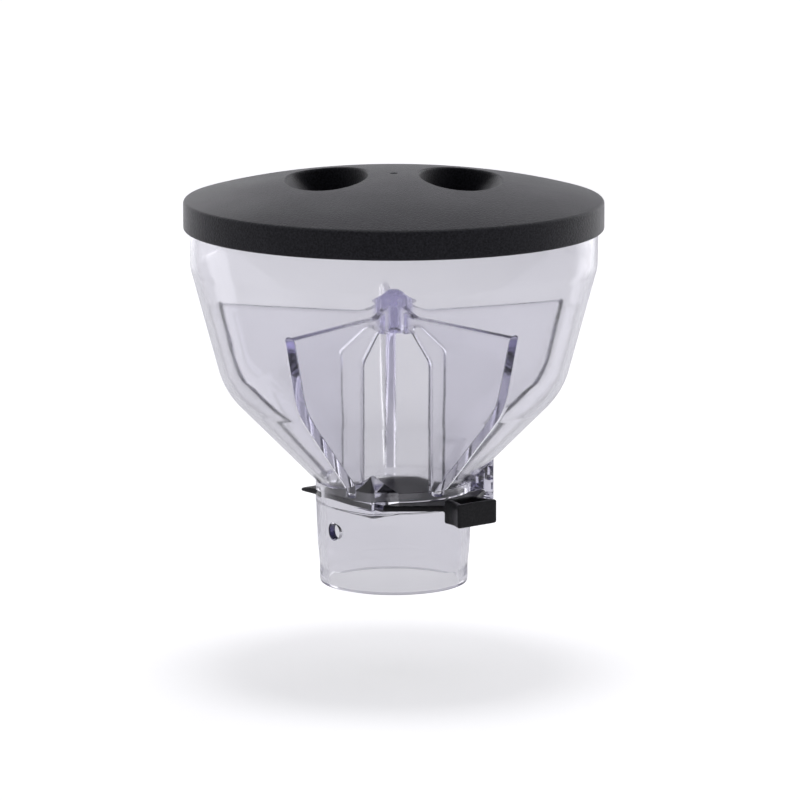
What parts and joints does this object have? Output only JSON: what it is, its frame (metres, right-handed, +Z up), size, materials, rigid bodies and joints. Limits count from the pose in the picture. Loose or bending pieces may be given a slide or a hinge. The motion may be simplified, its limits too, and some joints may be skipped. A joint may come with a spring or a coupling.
{
  "type": "coffee grinder bean hopper",
  "caption": "Clear funnel hopper on a round neck, with dividing webs, a slide gate with a finger loop, and a lift-off black lid.",
  "frame": {"origin": "centre of the neck's bottom rim", "axes": "+Z up along the neck and bowl axis; the gate pulls out along -Y; +X across"},
  "size_m": [0.2002, 0.2002, 0.1974],
  "materials": {
    "clear_bowl": "clear polished plastic with a faint lavender tint",
    "clear_neck": "clear polished plastic with a faint lavender tint",
    "gate_black": "satin black moulded plastic",
    "lid_black": "matt black moulded plastic with a fine grain"
  },
  "bodies": {
    "hopper": {"neck": "clear_neck", "housing_floor": "clear_neck", "guide_rail_left": "clear_neck", "guide_rail_right": "clear_neck", "gate_end_stop": "clear_neck", "housing_roof": "clear_bowl", "corner_block_left": "clear_bowl", "corner_block_right": "clear_bowl", "bowl_funnel": "clear_bowl", "bowl_wall_upper": "clear_bowl", "bowl_rim_band": "clear_bowl", "web_front": "clear_bowl", "web_right": "clear_bowl", "web_back_right": "clear_bowl", "web_back_left": "clear_bowl", "web_left": "clear_bowl", "web_hub": "clear_bowl"},
    "gate": {"gate_plate": "gate_black", "gate_nose": "gate_black", "gate_handle": "gate_black"},
    "lid": {"lid_cover": "lid_black", "lid_skirt": "lid_black", "lid_locating_ring": "lid_black", "finger_cup_left": "lid_black", "finger_cup_right": "lid_black"}
  },
  "joints": [
    {"name": "gate_slide", "type": "slide", "parent": "hopper", "child": "gate", "axis": [0, -1, 0], "range_m": [0, 0.057]},
    {"name": "lid_lift", "type": "slide", "parent": "hopper", "child": "lid", "axis": [0, 0, 1], "range_m": [0, 0.06]}
  ]
}
